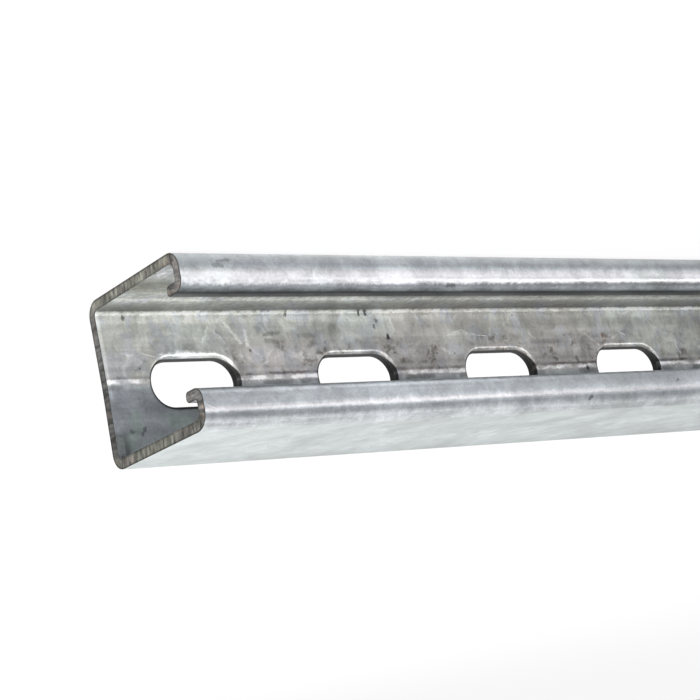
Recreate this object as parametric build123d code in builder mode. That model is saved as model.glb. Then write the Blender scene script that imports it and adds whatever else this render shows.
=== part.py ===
"""Slotted strut channel: a cold-rolled, galvanised steel rail of C section.

One strip of steel is punched with a row of round-ended slots, then rolled into a web, two flanges and
two lips. Each lip turns back into the channel, where its edge holds a channel nut. The rolls leave the
web creased slightly inwards along its middle, and the punch draws in the slots' edges on the inside.
The rail lies on its lower flange, with its length along X, its mouth towards -Y and its underside at
Z = 0. All sizes are in millimetres.
"""

import os

from build123d import *

# The section
height = 41.3  # outside of one flange to outside of the other
depth = 41.3  # back of the web to the face of the lips
wall = 2.6
lip_height = 9.65  # over each lip, so the mouth between them is 22 mm
lip_return = 6.6  # face of a lip to the end of its return
web_bend = 4.0  # outside radius, web to flange
lip_bend = 4.2  # outside radius, flange to lip
return_bend = 3.0  # outside radius, lip to return
web_crease = 0.36  # how far the middle of the web is pushed inwards
crease_bend = 3.0  # outside radius of the crease
edge_round = 1.1  # radius that the rolls leave on the strip's two edges

# The slots
slot_pitch = 50.0
slot_length = 25.0
slot_width = 12.0
slot_count = 20
punch_draw = 0.8  # bevel of the slots' edges on the inside of the web, drawn in by the punch

length = slot_count * slot_pitch  # cut midway between two slots at both ends
back = depth / 2  # the web's two bends reach this plane
face = -depth / 2  # and the lips' outer faces are on this one
middle = height / 2


def outer_corners():
    """Sharp corners of the strip's outer side, from the lower return to the upper one."""
    lean = web_crease / (middle - web_bend)  # of half the web, from its bend to the crease
    lower = [
        (face + lip_return, lip_height),
        (face, lip_height),
        (face, 0),
        (back + lean * web_bend, 0),
    ]
    upper = [(y, height - z) for y, z in reversed(lower)]
    return lower + [(back - web_crease, middle)] + upper


with BuildPart() as strut_channel:
    # The rolled strip: its outer side, its thickness added inwards, then its two worn edges
    with BuildSketch(Plane.YZ.offset(-length / 2)):
        with BuildLine():
            bends = [return_bend, lip_bend, web_bend]
            outer = FilletPolyline(*outer_corners(), radius=bends + [crease_bend] + bends[::-1])
            offset(outer, amount=-wall, side=Side.LEFT)
        make_face()
        tip = face + lip_return
        fillet(vertices().filter_by_position(Axis.X, tip - wall / 2, tip + wall / 2), edge_round)
    extrude(amount=length)

    # The slots, with the edges that the punch draws in on the inside of the web
    with BuildSketch(Plane.XZ.offset(-back)):
        with Locations((0, middle)):
            with GridLocations(slot_pitch, 0, slot_count, 1):
                SlotOverall(slot_length, slot_width)
    extrude(amount=2 * wall, mode=Mode.SUBTRACT)
    chamfer(edges(Select.LAST).filter_by_position(Axis.Y, face, back - wall), punch_draw)

strut_channel.part.label = "strut_channel"
os.makedirs("parts", exist_ok=True)
export_step(strut_channel.part, "parts/strut_channel.step")
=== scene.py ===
import math
from types import SimpleNamespace

import bmesh
import bpy
import numpy as np
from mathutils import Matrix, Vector


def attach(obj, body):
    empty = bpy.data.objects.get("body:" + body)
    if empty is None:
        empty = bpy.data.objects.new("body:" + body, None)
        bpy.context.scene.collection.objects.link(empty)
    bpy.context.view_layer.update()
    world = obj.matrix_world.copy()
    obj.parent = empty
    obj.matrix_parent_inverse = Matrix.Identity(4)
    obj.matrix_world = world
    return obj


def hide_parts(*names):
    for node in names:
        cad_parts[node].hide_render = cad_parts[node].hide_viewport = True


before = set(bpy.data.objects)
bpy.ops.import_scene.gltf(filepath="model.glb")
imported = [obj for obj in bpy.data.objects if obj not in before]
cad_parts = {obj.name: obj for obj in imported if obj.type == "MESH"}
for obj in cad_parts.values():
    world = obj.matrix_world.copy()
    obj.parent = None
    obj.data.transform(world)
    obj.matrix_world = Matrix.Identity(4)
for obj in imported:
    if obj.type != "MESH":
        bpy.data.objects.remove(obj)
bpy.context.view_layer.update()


# ---------------------------------------------------------------------------------------------
# The channel. One strip of galvanised steel is punched with a row of round-ended slots and then
# cold rolled into a web, two flanges and two lips, each with a return that turns back inwards.
# It lies on its lower flange with its mouth towards -Y. Sizes and places are in millimetres.

MM = 0.001  # a millimetre in metres, which are the frame's unit
HEIGHT, DEPTH, WALL = 41.3, 41.3, 2.6
MOUTH, LIP_RETURN = 22.0, 6.6
WEB_BEND, LIP_BEND, RETURN_BEND = 4.0, 4.2, 3.0  # outside radii
WEB_CREASE = 0.36  # how far the rolls push the middle of the web inwards
EDGE_ROUND = 1.1  # the strip's own edges, worn round by the rolls
PITCH, SLOT_LENGTH, SLOT_WIDTH, SLOTS = 50.0, 25.0, 12.0, 20
RIM_WIDTH, RIM_DEPTH = 1.1, 0.85  # the slot's edge, drawn in by the punch
SHEARED, TORN = 0.5, 0.95  # shares of the wall: a slot's wall is square down to the first
BURR = 0.2  # and leans in by this much from there to the second
SLOT_STEPS = 12  # points round a quarter of a slot

BACK, FACE, MIDDLE = DEPTH / 2, -DEPTH / 2, HEIGHT / 2
LENGTH = SLOTS * PITCH
LEAN = WEB_CREASE / (MIDDLE - WEB_BEND)  # slope of each half of the web
WELD = 0.002  # points of neighbouring surfaces closer than this become one
SHARP_ANGLE = 38  # degrees; a steeper edge is shaded as a sharp one


def left_of(direction):
    """A quarter turn anticlockwise in the YZ plane: (y, z) becomes (-z, y)."""
    return np.stack([-direction[..., 1], direction[..., 0]], axis=-1)


def bent_strip(corners, radii, steps=9, guard=0.4):
    """Outer side of a bent strip as points and unit normals that point into the steel.

    An arc touches its two runs at radius * tan(turn / 2) from the corner, and each of its points is
    centre - radius * normal while the normal turns evenly. A point just outside each end of an arc
    keeps the run beside it flat under smooth shading."""
    corners = np.array(corners, float)
    runs = np.diff(corners, axis=0)
    runs /= np.linalg.norm(runs, axis=1)[:, None]
    points, normals = [corners[:1]], [left_of(runs[:1])]
    for corner, before, after, radius in zip(corners[1:-1], runs[:-1], runs[1:], radii):
        turn = math.atan2(before[0] * after[1] - before[1] * after[0], before @ after)
        centre = corner - before * radius * math.tan(turn / 2) + left_of(before) * radius
        angle = np.linspace(0, turn, steps)[:, None]
        inward = left_of(before) * np.cos(angle) - before * np.sin(angle)
        arc = centre - radius * inward
        points += [arc[:1] - guard * before, arc, arc[-1:] + guard * after]
        normals += [inward[:1], inward, inward[-1:]]
    return np.concatenate(points), np.concatenate(normals)


def half_section(steps=6):
    """Outer and inner side of the strip from its lower edge to the foot of the web, point for point.

    Both lie half the wall from the mid line. Over the last EDGE_ROUND before the strip's edge, half
    the wall shrinks along a quarter circle, which rounds the edge's two corners."""
    outer, inward = bent_strip(
        [
            (FACE + LIP_RETURN, MIDDLE - MOUTH / 2),
            (FACE, MIDDLE - MOUTH / 2),
            (FACE, 0),
            (BACK + LEAN * WEB_BEND, 0),
            (BACK - WEB_CREASE, MIDDLE),
        ],
        [RETURN_BEND, LIP_BEND, WEB_BEND],
    )
    outer, inward = outer[:-1], inward[:-1]  # the web starts where its bend ends
    angle = np.linspace(0, math.pi / 2, steps)[:, None]
    edge = outer[:1] + EDGE_ROUND * (1 - np.cos(angle)) * np.array([[-1.0, 0.0]])
    mid = np.concatenate([edge, outer[1:]])
    inward = np.concatenate([np.repeat(inward[:1], steps, axis=0), inward[1:]])
    half = np.full((len(mid), 1), WALL / 2)
    half[:steps] -= EDGE_ROUND * (1 - np.sin(angle))
    mid = mid + WALL / 2 * inward
    return mid - half * inward, mid + half * inward


def web_y(z, depth):
    """Y on the web at a height z, at a depth below its inner face: it leans in towards the crease."""
    from_flange = MIDDLE - np.abs(z - MIDDLE)
    return BACK + LEAN * (WEB_BEND - from_flange) - (WALL - depth) * math.hypot(1, LEAN)


def slot_loops(half_height):
    """Two loops round one slot, point for point: the slot's outline as a function of an offset, and
    the edge of the slot's own stretch of web, PITCH long and half_height up and down from its middle.

    Each quarter runs from the top of the slot to its end. A point of the outline is the centre of
    the round end + (radius + offset) * (cos, sin), and the loop outside it goes along and then down."""
    straight, radius, corner = SLOT_LENGTH / 2 - SLOT_WIDTH / 2, SLOT_WIDTH / 2, SLOT_STEPS // 2
    step = np.arange(SLOT_STEPS + 1)
    angle = math.pi / 2 * (1 - step / SLOT_STEPS)
    centre = np.concatenate([[0], np.full(SLOT_STEPS + 1, straight)])
    cos, sin = np.concatenate([[0], np.cos(angle)]), np.concatenate([[1], np.sin(angle)])
    along = straight + (PITCH / 2 - straight) * np.minimum(step / corner, 1)
    down = half_height * np.minimum((SLOT_STEPS - step) / corner, 1)
    stretch = np.stack([np.concatenate([[0], along]), np.concatenate([[half_height], down])], axis=1)

    def whole(quarter):
        flips = [(1, 1, 1), (1, -1, -1), (-1, -1, 1), (-1, 1, -1)]
        return np.concatenate([(quarter[::order] * (sx, sz))[:-1] for sx, sz, order in flips])

    def outline(offset):
        return whole(np.stack([centre + (radius + offset) * cos, (radius + offset) * sin], axis=1))

    return outline, whole(stretch)


def slot_surface(inner_foot, outer_foot):
    """Web round one slot as rings of points: in over the inner face, round the drawn-in rim along a
    quarter ellipse, down the wall, which leans in to a burr at its torn end, and out over the back.

    Gives the points and the numbers of the rings where the rim and the wall start."""
    outline, inner_edge = slot_loops(MIDDLE - inner_foot)
    outer_edge = slot_loops(MIDDLE - outer_foot)[1]
    spread = np.array([0, 0.03, 0.35, 0.7, 0.95, 1])[:, None, None]
    inner_rings = inner_edge + spread * (outline(RIM_WIDTH) - inner_edge)
    outer_rings = (outer_edge + spread * (outline(-BURR) - outer_edge))[::-1]
    turn = np.linspace(0, math.pi / 2, 8)[1:]
    rim_rings = np.stack([outline(RIM_WIDTH * (1 - math.sin(t))) for t in turn])
    wall_rings = np.stack([outline(0), outline(-BURR)])
    flat = np.concatenate([inner_rings, rim_rings, wall_rings, outer_rings])
    depth = np.concatenate([
        np.zeros(len(inner_rings)),
        RIM_DEPTH * (1 - np.cos(turn)),
        [WALL * SHEARED, WALL * TORN],
        np.full(len(outer_rings), WALL),
    ])[:, None]
    z = MIDDLE + flat[..., 1]
    rim = len(inner_rings)
    return np.stack([flat[..., 0], web_y(z, depth), z], axis=-1), rim, rim + len(rim_rings) - 1


def quads(rows, columns, start, closed=False):
    """Corner numbers of the quads of a grid of rows * columns points that starts at number start."""
    number = start + np.arange(rows * columns).reshape(rows, columns)
    if closed:
        number = np.concatenate([number, number[:, :1]], axis=1)
    corners = [number[:-1, :-1], number[:-1, 1:], number[1:, 1:], number[1:, :-1]]
    return np.stack(corners, axis=-1).reshape(-1, 4)


def channel_mesh():
    """The whole channel as one closed surface, welded from a half shell swept along X, its mirror
    image, one ring grid for each slot, and the two cut ends ruled from the outer to the inner side.

    Each point knows if it is inside the channel, 0 or 1, and how far a slot's edge has turned there."""
    outer, inner = half_section()
    points, faces, cuts, insides, turns, total = [], [], [], [], [], 0

    def add(grid, inside, turn=0.0, cut=False, closed=False):
        nonlocal total
        rows, columns = grid.shape[:2]
        points.append(grid.reshape(-1, 3))
        insides.append(np.broadcast_to(inside, (rows, columns)).ravel())
        turns.append(np.broadcast_to(turn, (rows, columns)).ravel())
        faces.append(quads(rows, columns, total, closed))
        cuts.append(np.broadcast_to(cut, (rows - 1, len(faces[-1]) // (rows - 1))).ravel())
        total += rows * columns

    slot_x = PITCH * (np.arange(SLOTS) - (SLOTS - 1) / 2)
    cell, rim, wall = slot_surface(inner[-1, 1], outer[-1, 1])
    ring = np.arange(len(cell))[:, None]
    inside = (ring <= wall).astype(float)
    turn = np.interp(ring, [rim - 1, wall, wall + 2, wall + 3], [0, 1, 1, 0])
    cut = (ring[:-1] >= wall) & (ring[:-1] < wall + 3)
    for x in slot_x:
        add(cell + (x, 0, 0), inside, turn, cut, closed=True)

    stretch_x = np.unique(cell[0][cell[0][:, 2] == cell[0][:, 2].max(), 0].round(6))
    along = np.unique((slot_x[:, None] + stretch_x).round(6))
    shell = np.concatenate([inner[::-1], outer])
    shell_inside = np.repeat([1.0, 0.0], [len(inner), len(outer)])
    for mirror in (False, True):
        yz = shell * (1, -1) + (0, HEIGHT) if mirror else shell
        grid = np.empty((len(along), len(yz), 3))
        grid[..., 0], grid[..., 1:] = along[:, None], yz
        add(grid, shell_inside)

    sides = []
    for side, depth in ((outer, WALL), (inner, 0)):
        z = np.linspace(side[-1, 1], HEIGHT - side[-1, 1], SLOT_STEPS + 1)[1:-1]
        web = np.stack([web_y(z, depth), z], axis=1)
        sides.append(np.concatenate([side, web, (side * (1, -1) + (0, HEIGHT))[::-1]]))
    for x in (-LENGTH / 2, LENGTH / 2):
        grid = np.empty((2, len(sides[0]), 3))
        grid[..., 0], grid[..., 1:] = x, sides
        add(grid, np.array([[0.0], [1.0]]), cut=True)

    mesh = bpy.data.meshes.new("channel")
    mesh.from_pydata(np.concatenate(points) * MM, [], np.concatenate(faces))
    mesh.polygons.foreach_set("material_index", np.concatenate(cuts).astype(np.int32))
    for name, values in (("inside", insides), ("turn", turns)):
        mesh.attributes.new(name, "FLOAT", "POINT").data.foreach_set("value", np.concatenate(values))
    shape = bmesh.new()
    shape.from_mesh(mesh)
    bmesh.ops.remove_doubles(shape, verts=shape.verts, dist=WELD * MM)
    bmesh.ops.recalc_face_normals(shape, faces=shape.faces)
    shape.to_mesh(mesh)
    shape.free()
    mesh.polygons.foreach_set("use_smooth", np.ones(len(mesh.polygons), bool))
    mesh.set_sharp_from_angle(angle=math.radians(SHARP_ANGLE))
    return mesh


channel = bpy.data.objects.new("channel", channel_mesh())
bpy.context.scene.collection.objects.link(channel)
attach(channel, "root")
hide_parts("strut_channel")


# ---------------------------------------------------------------------------------------------
# The zinc coat. It went on hot, before the strip was rolled, so it has a soft spangle and lines from
# the rolls, and the inside keeps oil stains and black specks. Its tones also carry painted light: painted
# highlights on the lips, the crease and the slots' edges, and painted shade in the mouth and over the
# upper web. Places and widths are in millimetres, the scale of a pattern is in features per metre.

ZINC_INSIDE = (0.497, 0.505, 0.476, 1)
ZINC_BY_MOUTH = (0.505, 0.505, 0.508, 1)
# a yellower band across the inside of the flanges
OILED_ZINC = (0.5, 0.505, 0.435, 1)
WARM_ZINC = (0.507, 0.488, 0.484, 1)
BROWNED_ZINC = (0.513, 0.505, 0.48, 1)
# the bluish colour of the painted shade over the upper half of the web
BLUE_ZINC = (0.44, 0.48, 0.518, 1)
GREEN_BLOTS = (0.435, 0.5, 0.5, 1)
BLUE_BLOTS = (0.455, 0.475, 0.53, 1)
GREY_CRYSTALS = (0.44, 0.48, 0.47, 1)
ZINC_OUTSIDE = (0.489, 0.525, 0.523, 1)
LIP_BENDS = (0.503, 0.525, 0.54, 1)
# the lips' flats darker and cooler than the rest of the outside: painted shade
LIP_FLATS = (0.448, 0.477, 0.509, 1)
# painted highlight along the top of each lip's flat
LIP_SHINE = (0.468, 0.466, 0.487, 1)
# painted highlight along the web's crease
CREASE_SHINE = (0.51, 0.495, 0.51, 1)
CREASE_FOOT = (0.53, 0.475, 0.485, 1)
OIL_STAIN = (0.53, 0.48, 0.44, 1)
RUST_RED = (0.36, 0.22, 0.18, 1)

# Each band along the strip has its own tone, most of it painted highlight and painted shade. Each
# pair is a place and the tone there: by height on the web and the lips, and by depth on the inside of the
# flanges and outside
TOP_TONE = 4  # the highest tone that a band may have
WEB_TONES = [
    (2.6, 0.85), (3.3, 1.1), (4.0, 1.6), (4.8, 1.75), (6.0, 1.4), (8.0, 1.15),  # painted light above the bend
    (10.5, 0.9), (13.0, 0.87), (14.5, 0.95), (16.4, 0.88),
    (17.4, 0.72), (18.3, 0.8), (19.2, 0.62), (21.0, 0.74),  # darker on both sides of the crease
    (22.5, 0.44), (28.0, 0.35), (34.0, 0.64), (38.7, 0.6),  # painted shade over the upper half
]
FLANGE_TONES = [
    (-20, 1.42), (-15, 1.38), (-10, 1.46), (-6.5, 1.1),  # painted light by the mouth
    (-3.5, 0.69), (0, 0.7), (4, 1.08), (7.0, 1.05),  # a darker band
    (8.7, 1.65), (9.5, 1.7), (10.5, 1.3),  # a lighter one
    (12.5, 0.8), (14.5, 0.57), (17.2, 0.42),  # and painted shade down the bend to the web
]
LIP_TONES = [
    (0, 1.1), (1.0, 0.9), (2.5, 0.7), (3.9, 0.57), (5.2, 0.87),  # the lower lip: its bend, in painted shade
    (6.2, 1.04), (6.7, 0.94), (7.1, 0.95), (7.6, 1.33), (7.85, 1.25),  # its flat, with a painted highlight at the top
    (8.1, 0.85), (8.35, 0.5), (8.6, 0.38), (8.85, 0.45), (9.1, 0.5), (9.7, 0.75),  # the bend of its return, in painted shade inside the mouth
    (31.8, 0.62), (32.8, 1.04), (33.4, 0.74),  # the upper lip: the bend of its return, with painted light and shade
    (34.5, 0.6), (35.5, 0.56), (36.4, 0.69), (37.2, 0.87),  # its flat, with a painted highlight at the top
    (37.8, 0.58), (38.3, 0.52), (39.0, 0.61), (40.2, 0.81), (41.3, 0.89),  # its bend, with a band of painted shade
]
OUTER_TONES = [(-20, 1.02), (-10, 1.05), (8, 1.05), (12, 0.97), (16, 0.9), (21, 0.9)]

# Slower changes of tone along the strip, towards the sawn end at +X
LENGTH_TONES = [
    (-500, 1.0), (310, 0.98), (340, 1.0), (375, 1.0), (400, 1.02),
    (417, 0.93), (447, 1.25), (480, 1.05), (500, 1.0),
]
LIP_LENGTH_TONES = [(-500, 1.0), (330, 1.0), (360, 0.93), (400, 1.0), (435, 1.12), (470, 0.98), (500, 0.96)]
SHADE_TONES = [(450, 0.9), (477, 0.74), (490, 1.05), (500, 1.05)]  # on the web, over its crease

# The marks that stand out in the coat: x and z of both ends, the half width, and the
# change of tone, which is negative for a dark mark
WEB_MARKS = [
    (463.5, 6, 460, 11, 0.4, 0.4),  # a bright scratch across the web, and one that bends
    (458, 8, 458, 11.5, 0.4, 0.3),
    (458, 11.5, 455.5, 14, 0.4, 0.3),
    (452.5, 9, 447.5, 8.5, 0.4, -0.35),  # scuffs along the web
    (452, 10.5, 448.5, 11, 0.5, -0.28),
    (441.5, 9.5, 436.5, 9.5, 0.6, -0.3),
    (361.5, 12.5, 351.5, 12.5, 0.6, -0.3),
    (467, 9, 463.5, 10, 2.2, -0.2),  # dull patches, the first with a bright edge
    (471, 10.5, 469, 7, 0.3, 0.25),
    (430.5, 7.5, 431, 10.5, 1.2, -0.25),
    (341, 12, 343, 19, 0.8, -0.2),
    (479, 13.3, 474.5, 13.3, 0.5, 0.7),  # painted highlight along the last slot's edge
    (484, 13.6, 468, 13.6, 0.3, 0.5),
    (396, 13, 392.5, 15, 0.4, 0.25),  # bright smears
    (340, 10.5, 334.5, 14.5, 0.3, 0.3),
    (412.5, 10, 412.5, 10.5, 0.5, -0.9),  # spots and pits
    (415.5, 5.5, 415.5, 6, 0.35, -0.55),
    (416.5, 7, 416.5, 7.5, 0.35, -0.6),
    (354, 17.5, 353, 18, 0.5, -0.5),
    (345.5, 17.5, 345, 18.5, 0.5, -0.5),
    (342, 20.5, 342, 21, 0.5, -0.9),
    (492.5, 4, 492.5, 4.5, 0.4, -0.7),
    (495.5, 32, 495, 32.5, 0.4, -0.45),
    (491.5, 31.5, 492.5, 33, 0.35, -0.5),
    (444.5, 3, 444.5, 4, 0.25, -0.7),  # ticks in the corner of the web
    (421, 3, 421, 4, 0.35, -0.85),
    (419, 3, 418.5, 4, 0.35, -0.8),
]
LIP_MARKS = [
    (489.5, 3, 486.5, 2.5, 0.4, -0.4),
    (491, 4, 488.5, 4, 0.45, -0.35),
    (422.5, 8.5, 420, 8.5, 0.3, -0.5),
    (349.5, 35.5, 349, 35, 0.35, -0.5),
    (383, 39, 382, 38.5, 0.4, -0.55),
]
RUST_SPOT = (333, 11, 333, 11.5, 0.5)  # a mark with a colour of its own, and no change of tone


def give(tree, socket, value):
    """Links an input to another node's output, or sets it to a plain value."""
    if isinstance(value, bpy.types.NodeSocket):
        tree.links.new(value, socket)
    else:
        socket.default_value = value


def place(tree, kind, *values, **named):
    """One shader node. Its inputs come in order or by name, with _ for a space, each a value or
    another node's output; a name in lower case is one of the node's own settings."""
    made = tree.nodes.new("ShaderNode" + kind)
    for name, value in named.items():
        if name[0].islower():
            setattr(made, name, value)
    given = list(zip(made.inputs, values))
    given += [(made.inputs[n.replace("_", " ")], v) for n, v in named.items() if n[0].isupper()]
    for socket, value in given:
        give(tree, socket, value)
    return made


def calc(tree, operation, *values):
    """Output of a Math node."""
    return place(tree, "Math", *values, operation=operation).outputs[0]


def times(tree, product, *factors):
    """Product of two values or more."""
    for factor in factors:
        product = calc(tree, "MULTIPLY", product, factor)
    return product


def scaled(tree, value, factor, base):
    """base + factor * value."""
    return calc(tree, "MULTIPLY_ADD", value, factor, base)


def rise(tree, value, low, high, to_low=0.0, to_high=1.0):
    """A value that goes smoothly from to_low at low to to_high at high, and stays there beyond."""
    made = place(tree, "MapRange", value, low, high, to_low, to_high, interpolation_type="SMOOTHSTEP")
    return made.outputs[0]


def distance(tree, value, centre):
    """How far the value is from the centre, either way."""
    return calc(tree, "ABSOLUTE", calc(tree, "SUBTRACT", value, centre))


def stripe(tree, value, centre, half, soft):
    """1 within half of the centre, falling to 0 over soft more."""
    return rise(tree, distance(tree, value, centre), half, half + soft, 1, 0)


def noise(tree, position, stretch, detail=3, roughness=0.55, distortion=0.0):
    """Noise around 0.5 with about one feature per unit of position * stretch, where stretch is one
    number or one for each axis."""
    stretch = [float(s) for s in np.broadcast_to(stretch, 3)]
    features = place(tree, "VectorMath", position, stretch, operation="MULTIPLY").outputs[0]
    made = place(tree, "TexNoise", Vector=features, Scale=1.0, Detail=detail, Roughness=roughness)
    made.inputs["Distortion"].default_value = distortion
    return made.outputs[0]


def tint(tree, share, under, over, how="MIX"):
    """Output of a colour Mix node, whose colour inputs are the seventh and eighth."""
    made = place(tree, "Mix", share, data_type="RGBA", blend_type=how)
    give(tree, made.inputs[6], under)
    give(tree, made.inputs[7], over)
    return made.outputs[2]


def shade(tree, colour, tone):
    """The colour multiplied by the tone."""
    grey = place(tree, "CombineXYZ", tone, tone, tone).outputs[0]
    return tint(tree, 1.0, colour, grey, "MULTIPLY")


def tones(tree, value, stops):
    """A tone that runs smoothly through stops, pairs of a place and a tone up to TOP_TONE."""
    low, high = stops[0][0], stops[-1][0]
    ramp = place(tree, "ValToRGB", place(tree, "MapRange", value, low, high).outputs[0])
    ramp.color_ramp.interpolation = "CARDINAL"
    while len(ramp.color_ramp.elements) < len(stops):
        ramp.color_ramp.elements.new(0.5)
    for element, (at, tone) in zip(ramp.color_ramp.elements, stops):
        element.position = (at - low) / (high - low)
        element.color = (tone / TOP_TONE, tone / TOP_TONE, tone / TOP_TONE, 1)
    return calc(tree, "MULTIPLY", ramp.outputs[0], TOP_TONE)


def new_group(name, inputs, outputs):
    """An empty node group with its named sockets, and its input and output nodes."""
    tree = bpy.data.node_groups.new(name, "ShaderNodeTree")
    for sockets, in_out in ((inputs, "INPUT"), (outputs, "OUTPUT")):
        for label, kind in sockets.items():
            tree.interface.new_socket(label, in_out=in_out, socket_type="NodeSocket" + kind)
    return tree, tree.nodes.new("NodeGroupInput"), tree.nodes.new("NodeGroupOutput")


def metal_grain():
    """Node group: what any bare or zinc-coated face of the strip shows up close. Patches are blots
    of 4 to 15 mm, Grain is 0.7 mm, and Height adds the two for the bump."""
    outputs = {"Patches": "Float", "Grain": "Float", "Height": "Float"}
    tree, given, result = new_group("metal grain", {"Position": "Vector", "Fineness": "Float"}, outputs)
    position, fineness = given.outputs[:2]
    finer = place(tree, "VectorMath", position, operation="SCALE", Scale=fineness).outputs[0]
    clouds = noise(tree, finer, 75, detail=4, roughness=0.6)
    blots = noise(tree, finer, 260, detail=4, roughness=0.65, distortion=0.8)
    grain = noise(tree, finer, 1500, detail=2, roughness=0.7)
    patches = rise(tree, scaled(tree, blots, 0.5, calc(tree, "MULTIPLY", clouds, 0.5)), 0.36, 0.64)
    height = scaled(tree, grain, 0.5, calc(tree, "MULTIPLY", blots, 0.5))
    for value, socket in zip((patches, grain, height), result.inputs):
        tree.links.new(value, socket)
    return tree


def line_mark():
    """Node group: a mark in the coat along the straight line From-To, as a mask. The nearest point
    of the line is From + share * (To - From), with share = out . along / along . along."""
    inputs = {"Position": "Vector", "From": "Vector", "To": "Vector", "Half Width": "Float"}
    tree, given, result = new_group("line mark", inputs, {"Mask": "Float"})
    point, start, end, half = given.outputs[:4]
    along = place(tree, "VectorMath", end, start, operation="SUBTRACT").outputs[0]
    out = place(tree, "VectorMath", point, start, operation="SUBTRACT").outputs[0]
    reach = place(tree, "VectorMath", out, along, operation="DOT_PRODUCT").outputs["Value"]
    whole = place(tree, "VectorMath", along, along, operation="DOT_PRODUCT").outputs["Value"]
    share = place(tree, "Clamp", calc(tree, "DIVIDE", reach, whole)).outputs[0]
    foot = place(tree, "VectorMath", along, operation="SCALE", Scale=share).outputs[0]
    gap = place(tree, "VectorMath", out, foot, operation="DISTANCE").outputs["Value"]
    mask = rise(tree, gap, calc(tree, "MULTIPLY", half, 0.5), calc(tree, "MULTIPLY", half, 1.7), 1, 0)
    tree.links.new(mask, result.inputs[0])
    return tree


METAL_GRAIN = metal_grain()
LINE_MARK = line_mark()


def strip_places(tree):
    """Where on the strip a point is: its position in metres for the patterns, the same in
    millimetres, x, y and z in millimetres, and if it is inside the channel."""
    strip = SimpleNamespace(position=place(tree, "TexCoord").outputs["Object"])
    millimetres = place(tree, "VectorMath", strip.position, operation="SCALE", Scale=1 / MM)
    strip.millimetres = millimetres.outputs[0]
    strip.x, strip.y, strip.z = place(tree, "SeparateXYZ", strip.millimetres).outputs[:3]
    strip.inside = place(tree, "Attribute", attribute_name="inside").outputs["Fac"]
    return strip


def add_faces(tree, strip):
    """Masks of the strip's faces: the inside of the web and of the flanges, the lips, the rest of the
    outside, and the lips' returns, which only the mouth shows."""
    outside = calc(tree, "SUBTRACT", 1.0, strip.inside)
    strip.web = times(tree, rise(tree, strip.y, BACK - WALL - 1.2, BACK - WALL - 0.4), strip.inside)
    strip.flanges = calc(tree, "SUBTRACT", strip.inside, strip.web)
    strip.lips = times(tree, rise(tree, strip.y, FACE + 3, FACE + 4, 1, 0), outside)
    strip.off_lips = calc(tree, "SUBTRACT", outside, strip.lips)
    past_lip = rise(tree, strip.y, FACE + 1.5, FACE + 2.7)
    by_mouth = rise(tree, distance(tree, strip.z, MIDDLE), MOUTH / 2 + 0.8, MOUTH / 2 + 1.4, 1, 0)
    up_to_edge = rise(tree, strip.y, FACE + LIP_RETURN + 0.4, FACE + LIP_RETURN + 0.9, 1, 0)
    strip.returns = times(tree, outside, past_lip, by_mouth, up_to_edge)


def add_crystals(tree, strip):
    """Spangle: frozen crystals of two sizes, each cell with its own shade, and the raised borders of
    the larger ones in places. All the borders are bent by noise."""
    drift = place(tree, "TexNoise", Vector=strip.position, Scale=90.0, Detail=2.0).outputs["Color"]
    bend = [16 * MM] * 3
    bent = place(tree, "VectorMath", drift, bend, strip.position, operation="MULTIPLY_ADD").outputs[0]
    small = place(tree, "TexVoronoi", Vector=bent, Scale=130.0, Randomness=1.0)
    large = place(tree, "TexVoronoi", Vector=bent, Scale=55.0, Randomness=1.0)
    edges = place(tree, "TexVoronoi", Vector=bent, Scale=55.0, Randomness=1.0, feature="DISTANCE_TO_EDGE")
    strip.small_crystals = place(tree, "SeparateColor", small.outputs["Color"]).outputs[0]
    strip.large_crystals = place(tree, "SeparateColor", large.outputs["Color"]).outputs[1]
    in_places = rise(tree, noise(tree, strip.position, 110, detail=1), 0.5, 0.6)
    strip.borders = times(tree, rise(tree, edges.outputs[0], 0.006, 0.03, 1, 0), in_places)


def add_roll_lines(tree, strip):
    """What the rolls draw on the coat: fine lines along the strip, chatter across it, a mottle, smears
    that run askew, and the ragged y and z that give the bands of tone their borders."""
    strip.lines = noise(tree, strip.position, (9, 650, 650), roughness=0.6)
    strip.chatter = noise(tree, strip.position, (800, 70, 70), detail=2, roughness=0.5)
    strip.mottle = noise(tree, strip.position, (800, 700, 700), roughness=0.7)
    askew = place(tree, "VectorRotate", strip.position, Axis=(0, 0, 1), Angle=math.radians(-32)).outputs[0]
    strip.smears = noise(tree, askew, (30, 260, 260), detail=4, roughness=0.6, distortion=0.4)
    jitter = calc(tree, "SUBTRACT", noise(tree, strip.position, 600, roughness=0.7), 0.5)
    strip.ragged_y = scaled(tree, jitter, 2.0, strip.y)
    strip.ragged_z = scaled(tree, jitter, 1.3, strip.z)


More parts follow.
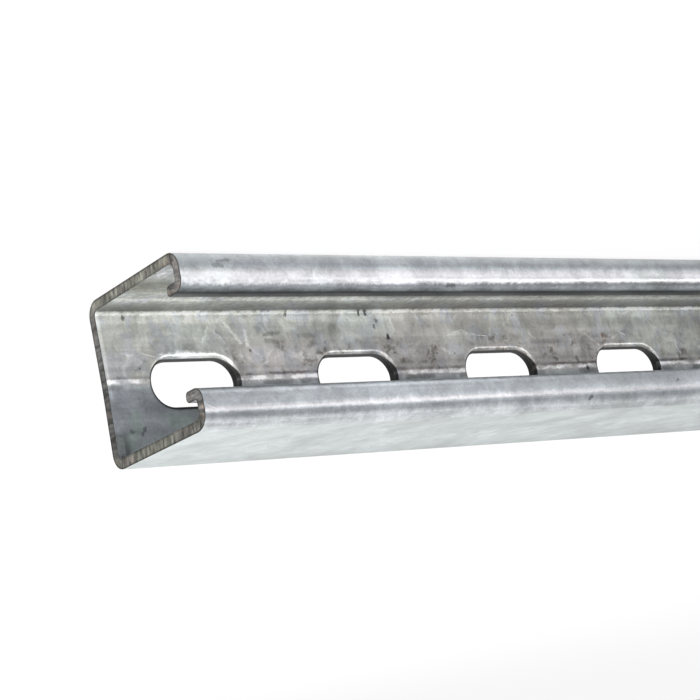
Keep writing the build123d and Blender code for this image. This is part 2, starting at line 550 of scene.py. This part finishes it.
def add_worn_lines(tree, strip):
    """Painted highlights along the web's crease and the foot of the web, strongest in patches, and a
    lighter rim on the web at the sawn end. The crease wanders a little, and is dark along both its sides."""
    wander = noise(tree, strip.position, (30, 0, 0))
    ripple = noise(tree, strip.position, (700, 0, 700), detail=2, roughness=0.6)
    astray = scaled(tree, wander, 0.5, calc(tree, "MULTIPLY", ripple, 0.8))
    ridge = calc(tree, "SUBTRACT", calc(tree, "SUBTRACT", strip.z, MIDDLE - 1.2), astray)
    strip.worn = rise(tree, noise(tree, strip.position, (240, 500, 500)), 0.34, 0.62, 0.35, 1)
    strip.crease = times(tree, stripe(tree, ridge, 0, 0.2, 0.6), strip.web, strip.worn)
    below = rise(tree, noise(tree, strip.position, (160, 300, 300)), 0.42, 0.62)
    strip.crease_foot = times(tree, stripe(tree, ridge, -1, 0.1, 0.5), strip.web, below)
    above = rise(tree, noise(tree, strip.position, 150), 0.42, 0.58)
    strip.crease_top = times(tree, stripe(tree, ridge, 1.4, 0.3, 0.6), strip.web, above)
    foot = stripe(tree, strip.ragged_z, 3.15, 0.1, 0.5)
    strip.web_foot = times(tree, foot, strip.web, scaled(tree, strip.worn, 0.6, 0.4))
    end = rise(tree, strip.x, LENGTH / 2 - 1.3, LENGTH / 2 - 0.6)
    strip.end_rim = times(tree, end, strip.web, rise(tree, strip.z, 22, 27, 1, 0.1))


def add_slot_rims(tree, strip):
    """Painted highlight on the drawn-in edge of a slot where it faces up, most at the last slot, and
    painted shade, near black, where it turns into the wall. The attribute turn goes from 0 on the flat to 1
    on the wall."""
    strip.turn = place(tree, "Attribute", attribute_name="turn").outputs["Fac"]
    along = calc(tree, "SUBTRACT", calc(tree, "WRAP", strip.x, PITCH, 0.0), PITCH / 2)
    lit = times(tree, rise(tree, strip.z, 15, 19.5, 1, 0), rise(tree, along, 6.5, 10.5, 1, 0.2))
    shine = times(tree, rise(tree, strip.turn, 0.02, 0.15), rise(tree, strip.turn, 0.62, 0.76, 1, 0), lit)
    strip.bright_rim = times(tree, shine, rise(tree, strip.x, 440, 470, 0.5, 1))
    unlit = calc(tree, "MULTIPLY", calc(tree, "SUBTRACT", 1.0, lit), 0.58)
    strip.dark_rim = rise(tree, calc(tree, "ADD", strip.turn, unlit), 0.72, 0.86)


def add_dirt(tree, strip):
    """Brown oil stains in the lower half of the web, and painted shade in the web's upper corner at the
    sawn end.
    """
    blotches = rise(tree, noise(tree, strip.position, (420, 480, 480), roughness=0.6), 0.48, 0.72)
    clusters = rise(tree, noise(tree, strip.position, 90, detail=2), 0.42, 0.6)
    band = stripe(tree, strip.z, 15.5, 3, 4)
    fewer = rise(tree, strip.x, 455, 470, 1, 0.35)
    strip.stains = times(tree, blotches, clusters, band, strip.web, fewer)
    strip.gloom = times(tree, rise(tree, strip.x, 495.5, 497.5), rise(tree, strip.z, 31.5, 33.5), strip.web)


def specks(tree, strip):
    """Mask of the black specks in the coat inside the channel, in clusters: each is the middle of a
    cell, and a cell's own random colour says how large."""
    cells = place(tree, "TexVoronoi", Vector=strip.position, Scale=330.0, Randomness=1.0)
    chance = rise(tree, place(tree, "SeparateColor", cells.outputs["Color"]).outputs[0], 0.55, 1.0)
    cluster = rise(tree, noise(tree, strip.position, 45, detail=2), 0.42, 0.68)
    size = times(tree, chance, cluster, 0.2)
    speck = calc(tree, "LESS_THAN", cells.outputs["Distance"], size)
    return times(tree, speck, strip.inside, rise(tree, strip.turn, 0.0, 0.1, 1, 0))


def mark_at(tree, strip, depth, x1, z1, x2, z2, half):
    """Mask of the line mark between two places on the plane y = depth."""
    onto_plane = ((1, 0, 1), (-0.6, depth, -0.6))
    flat = place(tree, "VectorMath", strip.ragged, *onto_plane, operation="MULTIPLY_ADD").outputs[0]
    ends = ((x1, depth, z1), (x2, depth, z2))
    return place(tree, "Group", flat, *ends, half, node_tree=LINE_MARK).outputs[0]


def marked(tree, strip):
    """The tone that the line marks leave: 1 + the sum of their changes, on the web and the lips."""
    shake = place(tree, "TexNoise", Vector=strip.position, Scale=1100.0, Detail=2.0).outputs["Color"]
    spread = (1.2, 1.2, 1.2)
    strip.ragged = place(
        tree, "VectorMath", shake, spread, strip.millimetres, operation="MULTIPLY_ADD"
    ).outputs[0]
    tone = 1.0
    for depth, face, marks in ((BACK - WALL, strip.web, WEB_MARKS), (FACE, strip.lips, LIP_MARKS)):
        total = 0.0
        for *where, step in marks:
            total = scaled(tree, mark_at(tree, strip, depth, *where), step, total)
        tone = scaled(tree, total, face, tone)
    return calc(tree, "MAXIMUM", tone, 0.08)


def about(tree, strip, value, outside_share, lip_share, inside_share):
    """1 + share * (value - 0.5), with a share for each kind of face."""
    share = scaled(tree, strip.inside, inside_share - outside_share, outside_share)
    share = scaled(tree, strip.lips, lip_share - outside_share, share)
    return scaled(tree, calc(tree, "SUBTRACT", value, 0.5), share, 1.0)


def only(tree, mask, tone):
    """The tone where the mask is 1, and 1 where it is 0."""
    return scaled(tree, calc(tree, "SUBTRACT", tone, 1.0), mask, 1.0)


def coat_tone(tree, strip):
    """How light the coat is: the product of the bands, the patterns, the painted highlights and shade, the
    stains and specks, and the marks.
    """
    # the lips' bands of painted highlight and shade shift in height along the strip
    sheared = calc(tree, "ADD", strip.ragged_z, rise(tree, strip.x, 330, 480, 0.4, -0.2))
    dim = times(tree, stripe(tree, strip.z, 26, 4, 2), strip.web)
    bands = [
        (strip.web, strip.ragged_z, WEB_TONES),
        (strip.flanges, strip.ragged_y, FLANGE_TONES),
        (strip.lips, sheared, LIP_TONES),
        (strip.inside, strip.x, LENGTH_TONES),
        (strip.lips, strip.x, LIP_LENGTH_TONES),
        (dim, strip.x, SHADE_TONES),
        (strip.off_lips, strip.ragged_y, OUTER_TONES),
    ]
    patterns = [  # with their strengths on the outside, the lips and the inside
        (strip.patches, 0.12, 0.35, 0.45),
        (strip.grain, 0.2, 0.5, 0.4),
        (strip.small_crystals, 0.05, 0.12, 0.16),
        (strip.large_crystals, 0.06, 0.12, 0.26),
        (strip.borders, 0.0, 0.0, 0.12),
        (strip.lines, 0.16, 0.5, 0.3),
        (strip.chatter, 0.16, 0.14, 0.16),
        (strip.smears, 0.32, 0.12, 0.14),
    ]
    more = [  # patterns that are stronger on one face
        (strip.flanges, strip.mottle, 0.0, 0.0, 1.3),
        (strip.web, strip.chatter, 0.0, 0.0, 0.14),
        (strip.returns, strip.mottle, 1.4, 0.0, 0.0),
    ]
    changes = [  # the tone is 1 + this much of the mask
        # painted highlights on the crease and the foot of the web, the crease darker along its sides
        (strip.crease, calc(tree, "MULTIPLY", strip.worn, 1.7)),
        (strip.crease_foot, -0.5),
        (strip.crease_top, -0.45),
        (strip.web_foot, 1.2),
        # painted shade on the lips' returns inside the mouth
        (strip.returns, -0.75),
        # painted highlight and painted shade on the slots' edges
        (strip.bright_rim, calc(tree, "MULTIPLY", strip.worn, 1.9)),
        (strip.dark_rim, -0.85),
        (strip.end_rim, 0.4),
        (strip.stains, -0.7),
        # painted shade in the web's upper corner at the sawn end
        (strip.gloom, -0.5),
        (specks(tree, strip), -0.55),
    ]
    parts = [only(tree, mask, tones(tree, value, stops)) for mask, value, stops in bands]
    parts += [about(tree, strip, *pattern) for pattern in patterns]
    parts += [only(tree, face, about(tree, strip, *pattern)) for face, *pattern in more]
    parts += [scaled(tree, mask, change, 1.0) for mask, change in changes]
    return times(tree, *parts, marked(tree, strip))


def coat_colour(tree, strip):
    """The coat's colour before its tone: a base for each face, and layers of tint over it."""
    by_mouth = times(tree, rise(tree, strip.y, -9, -4, 1, 0), strip.flanges)
    oiled = times(tree, stripe(tree, strip.y, -1.5, 3, 3), strip.flanges)
    inside = tint(tree, oiled, tint(tree, by_mouth, ZINC_INSIDE, ZINC_BY_MOUTH), OILED_ZINC)
    outside = tint(tree, strip.lips, ZINC_OUTSIDE, LIP_BENDS)
    # painted highlights along the top of the lips' flats
    shine = calc(tree, "ADD", stripe(tree, strip.z, 6.5, 1.4, 0.6), stripe(tree, strip.z, 37.1, 0.3, 0.6))
    flat_lips = times(tree, strip.lips, stripe(tree, strip.z, MIDDLE, 17.5, 2.5))

    before_end = times(tree, rise(tree, strip.x, 310, 335), rise(tree, strip.x, 455, 475, 1, 0.2))
    warm = times(tree, rise(tree, strip.z, 7, 14), before_end, strip.web)
    third_slot = times(tree, rise(tree, strip.x, 325, 350), rise(tree, strip.x, 405, 430, 1, 0))
    browned = times(tree, rise(tree, strip.z, 8, 16, 1, 0), third_slot, strip.web)
    hue = noise(tree, strip.position, 200, detail=2)
    upper = times(tree, rise(tree, strip.z, 20, 22.5), strip.web)
    green = times(tree, rise(tree, hue, 0.42, 0.52, 1, 0), rise(tree, strip.z, 21, 23), strip.web)
    blue = times(tree, rise(tree, hue, 0.5, 0.62), strip.inside, 0.5)
    grey = times(tree, rise(tree, strip.large_crystals, 0.6, 0.9), 0.35)
    rusty = times(tree, mark_at(tree, strip, BACK - WALL, *RUST_SPOT), strip.web)
    layers = [
        (flat_lips, tint(tree, shine, LIP_FLATS, LIP_SHINE)),
        (warm, WARM_ZINC),
        (browned, BROWNED_ZINC),
        (strip.stains, OIL_STAIN),
        (strip.crease_foot, CREASE_FOOT),
        (strip.crease, CREASE_SHINE),
        # bluish colour of the painted shade over the upper web
        (upper, BLUE_ZINC),
        (green, GREEN_BLOTS),
        (blue, BLUE_BLOTS),
        (grey, GREY_CRYSTALS),
        (rusty, RUST_RED),
    ]
    colour = tint(tree, strip.inside, outside, inside)
    for share, over in layers:
        colour = tint(tree, share, colour, over)
    return colour


def new_material(name):
    """A material with Blender's own first shader: the material, its node tree and that shader."""
    material = bpy.data.materials.new(name)
    material.use_nodes = True
    return material, material.node_tree, material.node_tree.nodes["Principled BSDF"]


def zinc_coat():
    """Material: zinc whose colour and tone change from face to face, painted light and shade included, with
    the spangle as relief.
    """
    material, tree, shader = new_material("galvanised zinc")
    strip = strip_places(tree)
    metal = place(tree, "Group", node_tree=METAL_GRAIN, Position=strip.position, Fineness=1.0)
    strip.patches, strip.grain = metal.outputs["Patches"], metal.outputs["Grain"]
    add_faces(tree, strip)
    add_crystals(tree, strip)
    add_roll_lines(tree, strip)
    add_worn_lines(tree, strip)
    add_slot_rims(tree, strip)
    add_dirt(tree, strip)
    tone = coat_tone(tree, strip)
    tree.links.new(shade(tree, coat_colour(tree, strip), tone), shader.inputs["Base Color"])
    shader.inputs["Metallic"].default_value = 0.7
    rough = scaled(tree, strip.small_crystals, 0.07, scaled(tree, strip.patches, 0.08, 0.33))
    tree.links.new(scaled(tree, strip.inside, 0.05, rough), shader.inputs["Roughness"])

    height = scaled(tree, strip.lines, 0.6, metal.outputs["Height"])
    height = scaled(tree, strip.borders, 0.5, height)
    bump = place(tree, "Bump", Strength=0.55, Distance=0.14 * MM, Height=height)
    tree.links.new(bump.outputs[0], shader.inputs["Normal"])
    return material


channel.data.materials.append(zinc_coat())


# ---------------------------------------------------------------------------------------------
# Bare steel, where the strip was sawn to length and where the slots were punched: saw marks across
# the strip's thickness, dark burrs along both its sides, and the first specks of rust. The slots'
# walls carry painted shade, near black.

SAWN_STEEL = (0.155, 0.156, 0.15, 1)
SAWN_FLANGE = (0.212, 0.214, 0.178, 1)
BROWN_FILM = (0.19, 0.168, 0.16, 1)
FRESH_RUST = (0.25, 0.18, 0.12, 1)


def cut_steel():
    """Material: saw marks that run across the strip, over the same grain as the coat. On a cut the
    attribute inside goes from 0 to 1 across the strip's thickness."""
    material, tree, shader = new_material("cut steel")
    strip = strip_places(tree)
    metal = place(tree, "Group", node_tree=METAL_GRAIN, Position=strip.position, Fineness=1.6)
    on_flange = rise(tree, distance(tree, strip.z, MIDDLE), 16.2, 19.2)
    along_y = noise(tree, strip.position, (0, 700, 170), roughness=0.65, distortion=0.2)
    along_z = noise(tree, strip.position, (0, 170, 700), roughness=0.65, distortion=0.2)
    saw = scaled(tree, on_flange, calc(tree, "SUBTRACT", along_y, along_z), along_z)
    saw = rise(tree, saw, 0.3, 0.7)

    burr = rise(tree, distance(tree, strip.inside, 0.5), 0.26, 0.46)
    burr_change = rise(tree, strip.inside, 0.4, 0.6, -0.8, -0.5)
    by_depth = rise(tree, strip.y, -15, 17, 1.28, 0.66)
    by_depth = scaled(tree, calc(tree, "SUBTRACT", 1.0, by_depth), on_flange, by_depth)
    by_height = rise(tree, strip.z, 10, 30, 1.12, 0.9)
    # painted shade: the slots' walls near black, darkest along their lower side
    punched = rise(tree, calc(tree, "ABSOLUTE", strip.x), LENGTH / 2 - 1, LENGTH / 2 - 0.5, 1, 0)
    wall_change = rise(tree, strip.z, 15.5, 19.5, -0.97, -0.78)
    tone = times(
        tree,
        scaled(tree, saw, 1.1, 0.2),
        scaled(tree, burr, burr_change, 1.0),
        by_depth,
        by_height,
        scaled(tree, metal.outputs["Patches"], 0.8, 0.6),
        scaled(tree, punched, wall_change, 1.0),
    )

    brown = times(tree, rise(tree, noise(tree, strip.position, 170, detail=2), 0.42, 0.6), 0.6)
    rust = times(tree, rise(tree, noise(tree, strip.position, 380), 0.58, 0.66), 0.5)
    colour = tint(tree, on_flange, SAWN_STEEL, SAWN_FLANGE)
    colour = tint(tree, brown, colour, BROWN_FILM)
    colour = tint(tree, rust, colour, FRESH_RUST)
    tree.links.new(shade(tree, colour, tone), shader.inputs["Base Color"])
    shader.inputs["Metallic"].default_value = 0.4
    tree.links.new(scaled(tree, metal.outputs["Grain"], 0.3, 0.4), shader.inputs["Roughness"])
    height = scaled(tree, saw, 0.8, metal.outputs["Height"])
    bump = place(tree, "Bump", Strength=0.6, Distance=0.1 * MM, Height=height)
    tree.links.new(bump.outputs[0], shader.inputs["Normal"])
    return material


channel.data.materials.append(cut_steel())


# ---------------------------------------------------------------------------------------------
# The studio, in metres: a floor of white paper that glows towards the camera and in reflections, but
# still takes the channel's shadow, a white room, four softboxes and the camera.

FLOOR_SIZE = 30
FLOOR_GLOW = 0.85  # how much of the floor's white is its own
ROOM_LIGHT = 0.6


def white_paper():
    """Material: plain diffuse paper, mixed with white light for what sees it directly."""
    material, tree, shader = new_material("white paper")
    tree.nodes.remove(shader)
    ray = place(tree, "LightPath").outputs
    direct = calc(tree, "MAXIMUM", ray["Is Camera Ray"], ray["Is Glossy Ray"])
    direct = calc(tree, "MAXIMUM", direct, ray["Is Transmission Ray"])
    diffuse = place(tree, "BsdfDiffuse", Color=(0.9, 0.9, 0.9, 1)).outputs[0]
    glow = place(tree, "Emission", Strength=1.0).outputs[0]
    mixed = place(tree, "MixShader", calc(tree, "MULTIPLY", direct, FLOOR_GLOW), diffuse, glow).outputs[0]
    tree.links.new(mixed, tree.nodes["Material Output"].inputs["Surface"])
    return material


bpy.ops.mesh.primitive_plane_add(size=FLOOR_SIZE, location=(0, 0, 0))
floor = bpy.context.object
floor.name = "floor"
floor.data.materials.append(white_paper())

world = bpy.data.worlds.new("studio")
bpy.context.scene.world = world
world.use_nodes = True
room = world.node_tree.nodes["Background"]
room.inputs["Color"].default_value = (1, 1, 1, 1)
room.inputs["Strength"].default_value = ROOM_LIGHT


def softbox(name, at, aim, size, watts):
    """A rectangular lamp that stands at one point and faces another."""
    lamp = bpy.data.objects.new(name, bpy.data.lights.new(name, "AREA"))
    lamp.data.shape = "RECTANGLE"
    lamp.data.size, lamp.data.size_y = size
    lamp.data.energy = watts
    lamp.location = at
    lamp.rotation_euler = (Vector(aim) - Vector(at)).to_track_quat("-Z", "Y").to_euler()
    bpy.context.scene.collection.objects.link(lamp)


softbox("low front softbox", at=(-0.45, -1.3, 0.05), aim=(0.42, 0, 0.03), size=(1.2, 0.1), watts=4.5)
softbox("front fill", at=(0.9, -1.1, 0.55), aim=(0.42, 0, 0.03), size=(0.6, 0.3), watts=16)
softbox("high front softbox", at=(-0.5, -1.0, 2.1), aim=(0.3, 0, 0), size=(1.4, 0.8), watts=12)
softbox("top softbox", at=(0.5, 0.9, 1.5), aim=(0.3, 0, 0), size=(2.8, 1.9), watts=26)

# The camera stands off the sawn end at +X, on the mouth's side, rolled over so that the lower flange
# is at the top of its frame
CAMERA_PLACE = (0.72792, -0.35743, 0.1206)
CAMERA_TURN = (-77.236, -11.079, -143.684)
LENS = 97.756

camera = bpy.data.objects.new("camera", bpy.data.cameras.new("camera"))
bpy.context.scene.collection.objects.link(camera)
bpy.context.scene.camera = camera
camera.location = CAMERA_PLACE
camera.rotation_euler = [math.radians(a) for a in CAMERA_TURN]
camera.data.lens = LENS
camera.data.clip_start = 0.01

bpy.context.scene.view_settings.view_transform = "Standard"
